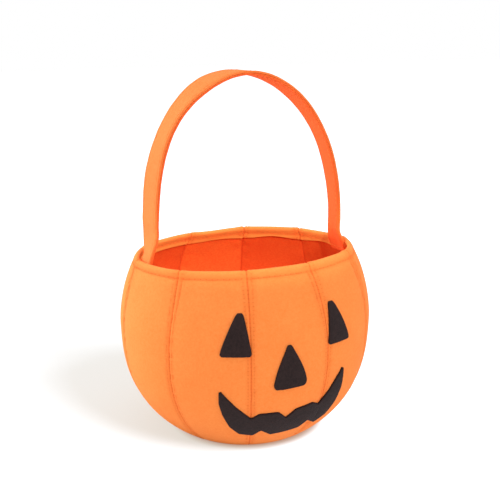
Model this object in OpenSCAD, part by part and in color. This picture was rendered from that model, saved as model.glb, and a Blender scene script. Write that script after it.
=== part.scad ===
/* [Pail body] */
// Height of the pail from the floor to the top of the rim
pail_h = 150; // [130:1:180]
// Width across the belly
belly_w = 200; // [180:1:240]
// Height of the widest part above the floor
belly_h = 92; // [75:1:105]
// Width of the mouth along the handle
mouth_w = 175; // [160:1:180]
// Depth of the mouth from front to back
mouth_d = 142; // [130:1:160]
// Diameter of the flat base
base_d = 104; // [80:1:125]
// Depth of the groove that each seam pulls in
groove_t = 0.8; // [0:0.1:2]

/* [Felt and lining] */
// Thickness of the orange felt
felt_t = 1.4; // [1:0.1:2]
// Thickness of the lining cloth
lining_t = 0.7; // [0.5:0.1:1.2]
// Thickness of the stiffening board in the base
board_t = 1.2; // [0.8:0.1:2]
// Depth of the hem that is turned in at the rim
hem_h = 11; // [8:0.5:18]
// Air between two layers
layer_gap = 0.2; // [0.15:0.05:0.3]
// Air between two gores at their seam
seam_gap = 0.2; // [0.15:0.05:0.4]

/* [Handle] */
// Width of the strap
strap_w = 25; // [18:1:32]
// Thickness of one ply of the strap
ply_t = 1.6; // [1:0.1:2.2]
// Distance between the two legs, centre to centre
leg_span = 158; // [140:1:160]
// Height of the top of the strap above the floor
handle_h = 287; // [250:1:340]
// Height of the straight legs between the swing line and the arch
straight_h = 8.8; // [2:0.1:60]
// Room between the rim and the strap when the handle lies flat
swing_room = 3; // [1:0.5:8]

/* [Face] */
// Thickness of the black felt
face_t = 1.2; // [0.8:0.1:2]
// Air under the black felt
face_gap = 0.3; // [0.3:0.05:0.5]
// Width of an eye
eye_w = 23; // [16:0.5:24]
// Height of an eye
eye_h = 31; // [20:0.5:34]
// Height of the lower edge of the eyes above the floor
eye_z = 93; // [85:1:100]
// Distance from the middle of the face to the inner corner of an eye
eye_x = 30; // [22:0.5:32]
// Width of the nose
nose_w = 26.5; // [18:0.5:30]
// Height of the nose
nose_h = 33; // [20:0.5:33]
// Height of the lower edge of the nose above the floor
nose_z = 66; // [60:1:70]
// Width of the mouth piece
grin_w = 105; // [80:1:115]
// Height of the mouth piece
grin_h = 50; // [30:1:52]
// Height of the lowest point of the mouth piece above the floor
grin_z = 21; // [18:1:28]

/* [Hidden] */

felt_orange = [1, 0.57, 0.25];
strap_orange = [1, 0.62, 0.3];
lining_red = [0.95, 0.28, 0.11];
board_grey = [0.62, 0.6, 0.56];
face_black = [0.19, 0.16, 0.16];

// The pail is sewn from ten gores, the first in the middle of the face
gore_count = 10;
gore_turn = 360 / gore_count;
base_r = base_d / 2;
belly_r = belly_w / 2;
rim_r = (mouth_w + mouth_d) / 4;
// How far the oval mouth is wider, and narrower, than a round one
oval_t = (mouth_w - mouth_d) / 4;
// Turn of the seams that keeps the gores equally wide round the oval
oval_turn = 90 / PI * (mouth_w - mouth_d) / (mouth_w + mouth_d);

// Powers that set how full the bowl and the shoulder are, and how late the mouth turns oval
bowl_power = 2.3;
bowl_fullness = 0.785;
shoulder_power = 1.75;
oval_power = 5.4;
flat_power = 4;
// Share by which a gore is a flat chord at the rim
rim_flat_share = 0.4;
// Half of the height share over which a slope is measured
slope_share = 0.004;

// The rim is two plies of felt folded over the top edge of the lining
rim_t = 2 * felt_t + lining_t + 2 * layer_gap;
fold_r = rim_t / 2;
hem_back = -(felt_t + lining_t + 2 * layer_gap);
lining_front = -(felt_t + layer_gap);
lining_back = lining_front - lining_t;
fold_h = 1 - fold_r / pail_h;
hem_start = 1 - hem_h / pail_h;
wall_shares = [0, 0.012, 0.035, 0.075, 0.13, 0.2, 0.29, 0.39, 0.5, 0.61, 0.72, 0.82, 0.91, 1];
wall_rows = concat([for (s = wall_shares) s * hem_start], [(hem_start + fold_h) / 2, fold_h]);
hem_rows = [fold_h, (hem_start + fold_h) / 2, hem_start];
fold_turns = [36, 72, 108, 144];
across_shares = [-1, -0.78, -0.4, 0, 0.4, 0.78, 1];

// Where the layers of the base lie
board_z = felt_t + layer_gap;
base_lining_z = board_z + board_t + layer_gap;
base_panel_r = base_r - felt_t / 2 - layer_gap;
board_r = base_panel_r - layer_gap;

// The strap has two plies and turns about a line just above the rim
strap_t = 2 * ply_t + layer_gap;
pivot_z = pail_h + strap_w / 2 + swing_room;
leg_x = leg_span / 2;
arch_z = pivot_z + straight_h;
arch_h = handle_h - strap_t / 2 - arch_z;
arch_steps = 40;
strap_front = -(rim_t + layer_gap);
// Radius that turns a distance along the rim, at the end of the oval, into an angle
end_r = (mouth_d / 2 - rim_t) * (1 + oval_turn * PI / 90);
end_rows = [hem_start, (hem_start + fold_h) / 2, fold_h, 1];
end_columns = 6;
bend_rows = 4;
bend_gap = 0.3;

// Outlines of the face, as shares of each piece's width and height
// An eye's rows give the height, the inner edge and the outer edge
eye_shares = [
    [0, 0.06, 0.94], [0.05, 0, 1], [0.2, 0.035, 0.93], [0.45, 0.1, 0.79],
    [0.7, 0.165, 0.65], [0.88, 0.22, 0.52], [0.96, 0.26, 0.45], [1, 0.31, 0.4]
];
// The nose's rows give the height and half the width
nose_shares = [
    [0, 0.42], [0.04, 0.48], [0.11, 0.5], [0.3, 0.4],
    [0.6, 0.225], [0.85, 0.09], [0.95, 0.045], [1, 0.02]
];
// The mouth's stations run from its left corner, a lower point and an upper point each
grin_shares = [
    [[-0.517, 0.86], [-0.503, 0.875]],
    [[-0.52, 0.67], [-0.455, 0.745]],
    [[-0.5, 0.46], [-0.405, 0.61]],
    [[-0.455, 0.21], [-0.35, 0.49]],
    [[-0.39, 0.06], [-0.3, 0.38]],
    [[-0.28, 0], [-0.235, 0.47]],
    [[-0.21, 0.12], [-0.16, 0.475]],
    [[-0.115, 0], [-0.085, 0.475]],
    [[-0.03, 0.015], [-0.017, 0.35]],
    [[0.05, 0.03], [0.055, 0.49]],
    [[0.155, 0.06], [0.13, 0.515]],
    [[0.22, 0.18], [0.2, 0.54]],
    [[0.33, 0.07], [0.26, 0.48]],
    [[0.415, 0.17], [0.31, 0.66]],
    [[0.46, 0.4], [0.36, 0.84]],
    [[0.478, 0.66], [0.395, 0.92]],
    [[0.457, 0.99], [0.443, 1]]
];
grin_cells = 3;
grin_steps = 2;
patch_cells = 4;

// Radius at a height share, before the mouth turns oval
function bowl_part(z) = pow(1 - pow((belly_h - z) / belly_h, bowl_power), bowl_fullness);
function shoulder_part(z) = pow((z - belly_h) / (pail_h - belly_h), shoulder_power);
function round_r(h) = let(z = pail_h * h)
    z < belly_h
        ? base_r + (belly_r - base_r) * bowl_part(z)
        : belly_r - (belly_r - rim_r) * shoulder_part(z);

// Unit vector out of the wall, as its radius and height
function wall_normal(h) = let(
        low = max(0, h - slope_share),
        high = min(1, h + slope_share),
        rise = pail_h * (high - low),
        run = round_r(high) - round_r(low),
        long = norm([rise, run])
    ) [rise / long, -run / long];

// Angle from the middle of the nearest gore
function from_middle(a) = a - gore_turn * round(a / gore_turn);
function groove(a, h) = groove_t * sqrt(4 * h * (1 - h)) * pow(abs(from_middle(a)) * 2 / gore_turn, 4);
function flat_part(a, h) = 1 - rim_flat_share * pow(h, flat_power)
    * (1 - cos(gore_turn / 2) / cos(from_middle(a)));

// A point of the wall: angle from the face, height share, distance out of the felt
function spot(a, h, out) = let(
        n = wall_normal(h),
        r = (round_r(h) - groove(a, h)) * flat_part(a, h) + out * n[0],
        wide = oval_t * pow(h, oval_power),
        turn = a - oval_turn * pow(h, oval_power) * sin(2 * a)
    ) [(r + wide) * sin(turn), -(r - wide) * cos(turn), pail_h * h + out * n[1]];

// A point of the folded rim, round the fold's own middle line
function fold_spot(a, r, turn) = spot(a, fold_h, -fold_r + r * cos(turn)) + [0, 0, r * sin(turn)];

// Angle across a gore, short of the seam by half of its gap
function across(i, share, h) = gore_turn * (i - 1)
    + share * (gore_turn / 2 - seam_gap / 2 / round_r(h) * 180 / PI);

// The faces of a thin piece between two grids of points, front[column][row] and back[column][row]
module felt_piece(front, back) {
    columns = len(front);
    rows = len(front[0]);
    function f(c, k) = c * rows + k;
    function b(c, k) = (columns + c) * rows + k;
    last_c = columns - 1;
    last_k = rows - 1;
    wide_faces = [for (c = [0 : last_c - 1], k = [0 : last_k - 1]) each [
        [f(c, k), f(c, k + 1), f(c + 1, k + 1)],
        [f(c, k), f(c + 1, k + 1), f(c + 1, k)],
        [b(c, k), b(c + 1, k + 1), b(c, k + 1)],
        [b(c, k), b(c + 1, k), b(c + 1, k + 1)]
    ]];
    side_faces = [for (k = [0 : last_k - 1]) each [
        [b(0, k), b(0, k + 1), f(0, k + 1)],
        [b(0, k), f(0, k + 1), f(0, k)],
        [f(last_c, k), f(last_c, k + 1), b(last_c, k + 1)],
        [f(last_c, k), b(last_c, k + 1), b(last_c, k)]
    ]];
    end_faces = [for (c = [0 : last_c - 1]) each [
        [b(c, 0), f(c, 0), f(c + 1, 0)],
        [b(c, 0), f(c + 1, 0), b(c + 1, 0)],
        [b(c + 1, last_k), f(c + 1, last_k), f(c, last_k)],
        [b(c + 1, last_k), f(c, last_k), b(c, last_k)]
    ]];
    polyhedron(
        points = concat([for (c = front) each c], [for (c = back) each c]),
        faces = concat(wide_faces, side_faces, end_faces),
        convexity = 8
    );
}

// One gore: the wall, the fold over the rim and the hem turned in behind the lining's edge
function gore_face(i, share) = concat(
    [for (h = wall_rows) spot(across(i, share, h), h, 0)],
    [for (t = fold_turns) fold_spot(across(i, share, fold_h), fold_r, t)],
    [for (h = hem_rows) spot(across(i, share, h), h, -rim_t)]
);
function gore_back(i, share) = concat(
    [for (h = wall_rows) spot(across(i, share, h), h, -felt_t)],
    [for (t = fold_turns) fold_spot(across(i, share, fold_h), fold_r - felt_t, t)],
    [for (h = hem_rows) spot(across(i, share, h), h, hem_back)]
);

module gore(i) {
    color(felt_orange)
    felt_piece([for (s = across_shares) gore_face(i, s)], [for (s = across_shares) gore_back(i, s)]);
}

// One panel of the lining, which follows the inside of its gore up to the fold
function lining_column(i, share, out) = [for (h = wall_rows) spot(across(i, share, h), h, out)];

module lining(i) {
    color(lining_red)
    felt_piece(
        [for (s = across_shares) lining_column(i, s, lining_front)],
        [for (s = across_shares) lining_column(i, s, lining_back)]
    );
}

module base_panel() {
    color(felt_orange)
    cylinder(h = felt_t, r = base_panel_r, $fn = 96);
}

module base_board() {
    color(board_grey)
    translate([0, 0, board_z])
    cylinder(h = board_t, r = board_r, $fn = 96);
}

module base_lining() {
    color(lining_red)
    translate([0, 0, base_lining_z])
    cylinder(h = lining_t, r = board_r, $fn = 96);
}

// The middle line of the strap: straight legs under half an ellipse, moved out along its normal
function arch_spot(t, out) = let(
        slope = [arch_h * cos(t), leg_x * sin(t)],
        way = slope / norm(slope)
    ) [leg_x * cos(t), arch_z + arch_h * sin(t)] + out * way;
function strap_line(out) = concat(
    [[leg_x + out, pivot_z + bend_gap]],
    [for (k = [0 : arch_steps]) arch_spot(180 * k / arch_steps, out)],
    [[-leg_x - out, pivot_z + bend_gap]]
);
function backwards(list) = [for (k = [len(list) - 1 : -1 : 0]) list[k]];

module strap_ply(inside, outside) {
    color(strap_orange)
    rotate([90, 0, 0])
    linear_extrude(height = strap_w, center = true)
    polygon(concat(strap_line(outside), backwards(strap_line(inside))));
}

module handle_outer_ply() {
    strap_ply(layer_gap / 2, strap_t / 2);
}

module handle_inner_ply() {
    strap_ply(-strap_t / 2, -layer_gap / 2);
}

// An end of the strap lies on the inside of the hem; side is 1 on the right and -1 on the left
function end_angle(side, c) = side * 90 + (c / end_columns - 1 / 2) * strap_w / end_r * 180 / PI;
function end_column(side, c, out) = [for (h = end_rows) spot(end_angle(side, c), h, out)];

module handle_end(side) {
    color(strap_orange)
    felt_piece(
        [for (c = [0 : end_columns]) end_column(side, c, strap_front)],
        [for (c = [0 : end_columns]) end_column(side, c, strap_front - strap_t)]
    );
}

// The bend runs from the curved end at the rim to the flat strap at the swing line
function bend_foot(side, c, out) = spot(end_angle(side, c), 1, out) + [0, 0, bend_gap];
function bend_head(side, c, out) = [
    side * (leg_x + out), side * (c / end_columns - 1 / 2) * strap_w, pivot_z
];
function bend_spot(side, c, k, foot_out, head_out) = let(
        share = k / bend_rows,
        ease = share * share * (3 - 2 * share),
        foot = bend_foot(side, c, foot_out),
        head = bend_head(side, c, head_out)
    ) [
        foot[0] + (head[0] - foot[0]) * ease,
        foot[1] + (head[1] - foot[1]) * ease,
        foot[2] + (head[2] - foot[2]) * share
    ];
function bend_column(side, c, foot_out, head_out) = [
    for (k = [0 : bend_rows]) bend_spot(side, c, k, foot_out, head_out)
];

module handle_bend(side) {
    color(strap_orange)
    felt_piece(
        [for (c = [0 : end_columns]) bend_column(side, c, strap_front, strap_t / 2)],
        [for (c = [0 : end_columns]) bend_column(side, c, strap_front - strap_t, -strap_t / 2)]
    );
}

// A point of the face: distance along the felt from the middle, height above the floor
function face_spot(x, z, out) = spot(x / belly_r * 180 / PI, z / pail_h, out);

// A face piece between the left and right edges of each row, rows = [[height, left, right], ...]
function patch_column(rows, c, out) = [
    for (row = rows) face_spot(row[1] + (row[2] - row[1]) * c / patch_cells, row[0], out)
];

module patch(rows) {
    color(face_black)
    felt_piece(
        [for (c = [0 : patch_cells]) patch_column(rows, c, face_gap + face_t)],
        [for (c = [0 : patch_cells]) patch_column(rows, c, face_gap)]
    );
}

module eye_right() {
    patch([for (s = eye_shares) [eye_z + eye_h * s[0], eye_x + eye_w * s[1], eye_x + eye_w * s[2]]]);
}

module eye_left() {
    patch([for (s = eye_shares) [eye_z + eye_h * s[0], -eye_x - eye_w * s[2], -eye_x - eye_w * s[1]]]);
}

module nose() {
    patch([for (s = nose_shares) [nose_z + nose_h * s[0], -nose_w * s[1], nose_w * s[1]]]);
}

// A station of the mouth between two of the hand-set ones
function grin_station(k) = let(
        whole = min(floor(k / grin_steps), len(grin_shares) - 2),
        part = k / grin_steps - whole
    ) grin_shares[whole] * (1 - part) + grin_shares[whole + 1] * part;
function grin_column(k, out) = let(ends = grin_station(k)) [
    for (c = [0 : grin_cells]) let(p = ends[0] + (ends[1] - ends[0]) * c / grin_cells)
        face_spot(grin_w * p[0], grin_z + grin_h * p[1], out)
];

module mouth() {
    stations = (len(grin_shares) - 1) * grin_steps;
    color(face_black)
    felt_piece(
        [for (k = [0 : stations]) grin_column(k, face_gap + face_t)],
        [for (k = [0 : stations]) grin_column(k, face_gap)]
    );
}

gore(1);  // gore_01
gore(2);  // gore_02
gore(3);  // gore_03
gore(4);  // gore_04
gore(5);  // gore_05
gore(6);  // gore_06
gore(7);  // gore_07
gore(8);  // gore_08
gore(9);  // gore_09
gore(10);  // gore_10
lining(1);  // lining_01
lining(2);  // lining_02
lining(3);  // lining_03
lining(4);  // lining_04
lining(5);  // lining_05
lining(6);  // lining_06
lining(7);  // lining_07
lining(8);  // lining_08
lining(9);  // lining_09
lining(10);  // lining_10
base_panel();
base_board();
base_lining();
handle_outer_ply();
handle_inner_ply();
handle_end(-1);  // handle_end_left
handle_end(1);  // handle_end_right
handle_bend(-1);  // handle_bend_left
handle_bend(1);  // handle_bend_right
eye_left();
eye_right();
nose();
mouth();
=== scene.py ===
import math
import bpy
import numpy as np
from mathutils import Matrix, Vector


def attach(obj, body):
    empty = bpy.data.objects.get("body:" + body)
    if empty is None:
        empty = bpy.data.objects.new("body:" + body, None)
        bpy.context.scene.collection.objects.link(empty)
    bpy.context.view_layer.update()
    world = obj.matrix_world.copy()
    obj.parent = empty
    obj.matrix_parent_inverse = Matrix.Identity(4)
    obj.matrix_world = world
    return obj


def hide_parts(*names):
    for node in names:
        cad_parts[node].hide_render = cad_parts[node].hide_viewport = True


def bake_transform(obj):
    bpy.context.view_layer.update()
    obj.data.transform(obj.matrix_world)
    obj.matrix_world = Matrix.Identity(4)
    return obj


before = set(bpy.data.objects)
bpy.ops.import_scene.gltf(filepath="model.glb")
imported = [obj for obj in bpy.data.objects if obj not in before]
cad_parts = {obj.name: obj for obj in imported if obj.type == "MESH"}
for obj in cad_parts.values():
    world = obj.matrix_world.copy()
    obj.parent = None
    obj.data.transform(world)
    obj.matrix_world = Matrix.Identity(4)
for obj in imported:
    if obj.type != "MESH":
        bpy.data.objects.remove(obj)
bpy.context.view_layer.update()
print("frame loaded:", len(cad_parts), "nodes")
scene = bpy.context.scene

mm = 0.001  # lengths are in millimetres below, and meshes are made in metres

pail = dict(
    height=150, bellyRadius=100, bellyHeight=92, baseRadius=52,
    mouthWidth=175, mouthDepth=142, groove=0.8, gores=10,
    felt=1.4, lining=0.7, gap=0.2, hem=11,
    slack=0.12,  # small unevenness of the sewn body
    leanRight=2.8, leanBack=-1.3, leanSpan=88, leftward=0.65,  # how the rim in the photograph leans
    seamTurn=(54, 15, 2.6),  # a seam that runs off its place near the rim: angle, half width, degrees
    rimDips=((104, 30, 2.0), (186, 13, 0.85)),  # where the rim hangs lower: angle, half width, depth
    strayFull=50,  # radius from which a point strays in full, so that the base's middle stays
    bodyFade=190, leanFade=215,  # heights at which the strap stops following the body, and its lean
)
bowlPower, bowlFullness, shoulderPower, ovalPower = 2.3, 0.785, 1.75, 5.4
rimFlat, slopeShare = 0.4, 0.004  # how flat a gore is at the rim; half the share a slope is taken over
mouthSum, mouthExcess = pail["mouthWidth"] + pail["mouthDepth"], pail["mouthWidth"] - pail["mouthDepth"]
rimRadius, oval = mouthSum / 4, mouthExcess / 4
ovalTurn = 90 / math.pi * mouthExcess / mouthSum
rimThickness = 2 * pail["felt"] + pail["lining"] + 2 * pail["gap"]
foldRadius = rimThickness / 2
foldShare = 1 - foldRadius / pail["height"]
hemShare = 1 - pail["hem"] / pail["height"]
goreTurn = 360 / pail["gores"]


# Ease from 0 to 1 between two values: 3t^2 - 2t^3
def ease(x, low, high):
    t = np.clip((x - low) / (high - low), 0, 1)
    return t * t * (3 - 2 * t)


# A bell curve of height 1 round a middle value
def bell(x, middle, width):
    return np.exp(-(((x - middle) / width) ** 2))


# How far a rounded edge falls: a quarter circle from 1 at the edge to 0 at one radius in
def fallOf(share):
    return 1 - np.sqrt(1 - (1 - np.clip(share, 0, 1)) ** 2)


# Depth of a sewn row from the count of its stitches: fullest at each needle hole
def holesAt(count):
    return 0.65 + 0.35 * np.cos(math.tau * count)


# A sum of sines of x, each given by its share, its wave and how far its seed turns it
def ripple(x, seed, *terms):
    return sum(share * np.sin(x / wave + turns * seed) for share, wave, turns in terms)


# Steps from 0 to 1 that crowd towards both ends: half a cosine wave
def crowded(count):
    return (1 - np.cos(np.linspace(0, math.pi, count))) / 2


# Coordinates put together as points
def pointsOf(*axes):
    return np.stack(np.broadcast_arrays(*axes), -1)


# Length along a line of points, counted from the first
def lengthAlong(points):
    return np.concatenate([[0], np.cumsum(np.linalg.norm(np.diff(points, axis=0), axis=1))])


# Points of a line at other places along it
def pointsAt(places, known, points):
    return pointsOf(*(np.interp(places, known, axis) for axis in points.T))


def unit(vectors):
    return vectors / np.linalg.norm(vectors, axis=-1, keepdims=True)


# Radius at height share h, before the mouth turns oval: below the belly it swells from the base by
# (1 - (way down / belly height)^bowlPower)^fullness, above it shrinks as a power of the way up
def roundRadius(h):
    z = pail["height"] * h
    down = np.clip((pail["bellyHeight"] - z) / pail["bellyHeight"], 0, 1)
    up = np.clip((z - pail["bellyHeight"]) / (pail["height"] - pail["bellyHeight"]), 0, None)
    swell = (1 - down ** bowlPower) ** bowlFullness
    low = pail["baseRadius"] + (pail["bellyRadius"] - pail["baseRadius"]) * swell
    high = pail["bellyRadius"] - (pail["bellyRadius"] - rimRadius) * up ** shoulderPower
    return np.where(z < pail["bellyHeight"], low, high)


# Unit vector out of the wall at height share h, as its radius and its height
def wallNormal(h):
    low, high = np.clip(h - slopeShare, 0, None), np.minimum(1, h + slopeShare)
    rise = pail["height"] * (high - low)
    run = roundRadius(high) - roundRadius(low)
    length = np.hypot(rise, run)
    return rise / length, -run / length


# Angle in degrees from the middle of the nearest gore
def fromMiddle(turn):
    return turn - goreTurn * np.round(turn / goreTurn)


# How far a soft body strays from its pattern: a few slow waves round and up the wall, none at the base
def slackOf(turn, h):
    t = np.radians(turn)
    waves = (np.sin(2 * t + 0.7) * np.sin(3.1 * h) + 0.7 * np.sin(3 * t - 4 * h + 2)
             + 0.5 * np.sin(7 * t + 6 * h + 1) + 0.4 * np.sin(11 * t - 9 * h + 4))
    return pail["slack"] * waves * ease(h, 0, 0.25)


# A point of the wall from its angle off the face, height share and distance out. Radius = round radius
# less the seam's groove, flattened between seams near the rim, and stretched to the oval by plus and
# minus the oval share; the point then moves out along the wall's normal
def wallPoint(turn, h, out):
    turn, h, out = np.broadcast_arrays(turn, h, out)
    normalR, normalZ = wallNormal(h)
    middle = fromMiddle(turn)
    groove = pail["groove"] * np.sqrt(4 * h * np.clip(1 - h, 0, None)) * np.abs(middle * 2 / goreTurn) ** 4
    flat = 1 - rimFlat * h ** 4 * (1 - math.cos(math.radians(goreTurn / 2)) / np.cos(np.radians(middle)))
    r = (roundRadius(h) - groove) * flat + slackOf(turn, h) + out * normalR
    wide = oval * h ** ovalPower
    a = np.radians(turn - ovalTurn * h ** ovalPower * np.sin(np.radians(2 * turn)))
    return pointsOf((r + wide) * np.sin(a), -(r - wide) * np.cos(a), pail["height"] * h + out * normalZ)


# The path of a gore's outer face: up the wall, half a turn round the fold, and down the hem.
# wallTable is the length along the wall for each height share in shareTable
shareTable = np.concatenate([np.linspace(0, 0.02, 200)[:-1], np.linspace(0.02, foldShare, 1200)])
wallTable = lengthAlong(pointsOf(roundRadius(shareTable), pail["height"] * shareTable))
wallLength = wallTable[-1]
foldLength = math.pi * foldRadius
rimTop, hemStart = wallLength + foldLength / 2, wallLength + foldLength
pathLength = hemStart + wallLength - np.interp(hemShare, shareTable, wallTable)


# Height share at length t along that path
def shareAt(t):
    down = wallLength - (t - hemStart)
    return np.interp(np.where(t > hemStart, down, np.minimum(t, wallLength)), wallTable, shareTable)


# A point at length t along the path, at an angle off the face, lifted off the cloth along its normal.
# Round the fold it is the fold's middle + (fold radius + lift) * (cos along the wall's normal,
# sin along the wall's own direction)
def gorePoint(turn, t, lift):
    turn, t, lift = np.broadcast_arrays(turn, t, lift)
    onWall, onHem = t < wallLength, t > hemStart
    angle = np.clip((t - wallLength) / foldRadius, 0, math.pi)
    onFold = -foldRadius + (foldRadius + lift) * np.cos(angle)
    out = np.where(onWall, lift, np.where(onHem, -rimThickness - lift, onFold))
    normalR, normalZ = wallNormal(foldShare)
    rise = np.where(onWall | onHem, 0, (foldRadius + lift) * np.sin(angle))
    a = np.radians(turn)
    upwards = pointsOf(-normalZ * rise * np.sin(a), normalZ * rise * np.cos(a), normalR * rise)
    return wallPoint(turn, shareAt(t), out) + upwards


# How the pail in the photograph strays from its pattern: the distance outwards in millimetres. A row
# for each of 1, cos, sin, cos 2 and sin 2 of the angle off the face, and a column for each height share
strayHeights = [0, 0.2, 0.45, 0.7, 0.87, 1]
strayTable = np.array([
    [-0.25, 1.60, 1.59, 1.15, 1.35, 0.52],
    [-0.44, -0.06, 0.36, -0.18, -0.27, 0.38],
    [-0.56, -0.61, -0.28, -0.22, -0.22, -0.88],
    [-0.10, -1.15, -0.78, -0.70, -0.97, -0.65],
    [-0.39, -0.58, -1.32, -0.20, 1.06, 0.95]])
strayPowers = np.linalg.solve(np.vander(strayHeights), strayTable.T)


# The handle's drift from its pattern: shifts, and how far a point moves for each millimetre across the
# strap: sideways for each side at four height shares, and upwards for the powers 3 to 0 of the place
# along the arch. footLeft and footRight shift the back and the front edge of each foot
drift = dict(
    foot=1.54, left=2.9, wave=0.64, drawn=-0.63, back=4.05, lift=-0.41, top=-0.51, tilt=0.022,
    turnLeft=[0.135, 0.152, 0.202, 0.174], turnRight=[-0.186, -0.087, -0.039, -0.19],
    roll=[0.984, -0.24, -0.492, -0.043], footLeft=(2.9, 0.9), footRight=(1.3, -0.8),
    climb=137, halfSpan=79, overTop=30,  # the loop's height and half width, and where its sides blend
)
turnTable = np.transpose([drift["turnLeft"], drift["turnRight"]])
turnPowers = np.linalg.solve(np.vander([0, 0.35, 0.7, 1]), turnTable)


# Moves a piece as the pail stands in the photograph: outwards by the table's polynomials, round by one
# seam's bell curve, and up or down by the rim's lean times height squared. Above the rim the strap
# drifts with height and turns about its own line
def settle(points):
    x, y, z = np.moveaxis(points, -1, 0)
    h = np.clip(z / pail["height"], 0, 1)
    turn, r = np.arctan2(x, -y), np.hypot(x, y)
    waves = (1, np.cos(turn), np.sin(turn), np.cos(2 * turn), np.sin(2 * turn))
    inPail = 1 - ease(z, pail["height"], pail["bodyFade"])
    out = sum(wave * np.polyval(powers, h) for wave, powers in zip(waves, strayPowers.T))
    r = r + out * inPail * np.clip(r / pail["strayFull"], 0, 1)
    seamAt, seamSpread, off = pail["seamTurn"]
    a = turn - math.radians(off) * bell(np.degrees(turn), seamAt, seamSpread) * ease(h, 0.3, 0.7) * inPail
    lean = (pail["leanRight"] * x + pail["leanBack"] * y) / pail["leanSpan"]
    rise = lean * h ** 2 * (1 - ease(z, pail["height"], pail["leanFade"]))
    for middle, width, depth in pail["rimDips"]:
        rise -= depth * bell((np.degrees(turn) - middle + 180) % 360, 180, width) * h ** 3 * inPail
    up, side = np.clip((z - pail["height"]) / drift["climb"], 0, 1.05), np.clip(x / drift["overTop"], -1, 1)
    turnLeft, turnRight = (np.polyval(powers, up) for powers in turnPowers.T)
    slope = ((1 - side) * turnLeft + (1 + side) * turnRight) / 2 * ease(z, 149, 163)
    once = np.minimum(up, 1)
    loop = (drift["foot"] * ease(z, 150, 175) - drift["left"] * up - slope * y
            - (drift["wave"] * np.sin(math.tau * once) - drift["drawn"] * np.sin(math.pi * once)) * side)
    along = np.clip(x / drift["halfSpan"], -1, 1)
    rise += drift["tilt"] * y * up ** 2 + np.polyval(drift["roll"], along) * y * ease(up, 0.3, 0.9)
    rise += drift["lift"] * ease(up, 0.4, 1) + drift["top"] * up ** 2 * 2 * along
    across = r * np.sin(a) - pail["leftward"] * h ** 2 + loop
    return pointsOf(across, -r * np.cos(a) + drift["back"] * up, z + rise)


# The strap's two feet near their sewn ends: the left one's back edge leans in off the rim, the right
# one turns a little. Each shift across is a product of eases, or a bell curve, of the height
def standFeet(points):
    x, y, z = np.moveaxis(points, -1, 0)
    half = strap["width"] / 2
    back, front = (1 + y / half) / 2, (1 - y / half) / 2
    (leftBack, leftFront), (rightBack, rightFront) = drift["footLeft"], drift["footRight"]
    left = leftBack * ease(z, 132, 152) * (1 - ease(z, 156, 180)) * back
    left += leftFront * bell(z, 167, 6) * front
    right = rightBack * ease(z, 146, 152) * (1 - ease(z, 150, 162)) * back
    right += rightFront * bell(z, 155.5, 4) * front
    return pointsOf(x + np.where(x < 0, left, right), y, z)


# Adds a piece, a lamp or the camera to the scene
def addObject(name, data):
    thing = bpy.data.objects.new(name, data)
    scene.collection.objects.link(thing)
    return thing


# Triangles between the front chain and the back chain of a ring, from their places across: the next
# point in order, of either chain, makes a triangle with the last point of each
def zipEnd(front, back):
    places = np.concatenate([front[1:], back[1:]])
    onFront = np.argsort(places, kind="stable") < len(front) - 1
    a, b = np.cumsum(onFront) - onFront, np.cumsum(~onFront) - ~onFront
    last = len(front) + len(back) - 1
    return np.stack([a, np.where(onFront, a + 1, last - 1 - b), last - b], -1)


# One closed solid from points[row][ring], or many from points[solid][row][ring]: quads between the
# rings and one face over each end. maps holds values by UV map name, and endStrip the triangles that
# close an end whose edge waves
def ringSolid(name, points, maps=None, flip=False, endStrip=None):
    rows, ring = points.shape[-3:-1]
    solids = points.size // (rows * ring * 3)
    base = (np.arange(solids) * rows * ring)[:, None, None]
    r, c = np.arange(rows - 1)[None, :, None], np.arange(ring)[None, None, :]
    n = (c + 1) % ring
    low, high = base + r * ring, base + (r + 1) * ring
    quads = np.stack([low + c, low + n, high + n, high + c], -1).reshape(-1, 4)
    end = np.arange(ring)[None] if endStrip is None else endStrip
    ends = (end[:, ::-1], (rows - 1) * ring + end)
    caps = np.concatenate([solid + part for solid in base.ravel() for part in ends])
    if flip:
        quads, caps = quads[:, ::-1], caps[:, ::-1]
    vertices, faces = (points.reshape(-1, 3) * mm).tolist(), quads.tolist() + caps.tolist()
    mesh = bpy.data.meshes.new(name)
    mesh.from_pydata(vertices, [], faces, shade_flat=False)
    loops = np.concatenate([quads.ravel(), caps.ravel()])
    for key, values in (maps or {}).items():
        layer = mesh.uv_layers.new(name=key)
        layer.data.foreach_set("uv", values.reshape(-1, 2)[loops].astype(np.float32).ravel())
    mesh.validate()
    return addObject(name, mesh)


# Gives each point of a piece a value that its material reads by name
def paintPoints(piece, name, values):
    layer = piece.data.attributes.new(name, "FLOAT", "POINT")
    layer.data.foreach_set("value", values.astype(np.float32).ravel())


# Puts a front grid and a back grid, both [row][column], round one ring per row
def wrap(front, back):
    return np.concatenate([front, back[:, ::-1]], 1)


# Sets a node's inputs by name or number: an output is linked, and a colour is three numbers
def setInputs(node, values):
    for key, value in values.items():
        if hasattr(value, "links"):
            node.id_data.links.new(value, node.inputs[key])
        elif node.inputs[key].type == "RGBA":
            node.inputs[key].default_value = (*value, 1)
        else:
            node.inputs[key].default_value = value


def nodeOf(tree, kind, values=None, **settings):
    node = tree.nodes.new(kind)
    for key, value in settings.items():
        setattr(node, key, value)
    setInputs(node, values or {})
    return node


# The output of a new node beside the nodes whose outputs are among its values
def nextNode(kind, values, output=0, **settings):
    tree = next(value.id_data for value in values.values() if hasattr(value, "links"))
    return nodeOf(tree, kind, values, **settings).outputs[output]


def mathOf(operation, a, b=0.5, clamp=False):
    return nextNode("ShaderNodeMath", {0: a, 1: b}, operation=operation, use_clamp=clamp)


def add(a, b, clamp=False):
    return mathOf("ADD", a, b, clamp)


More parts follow.
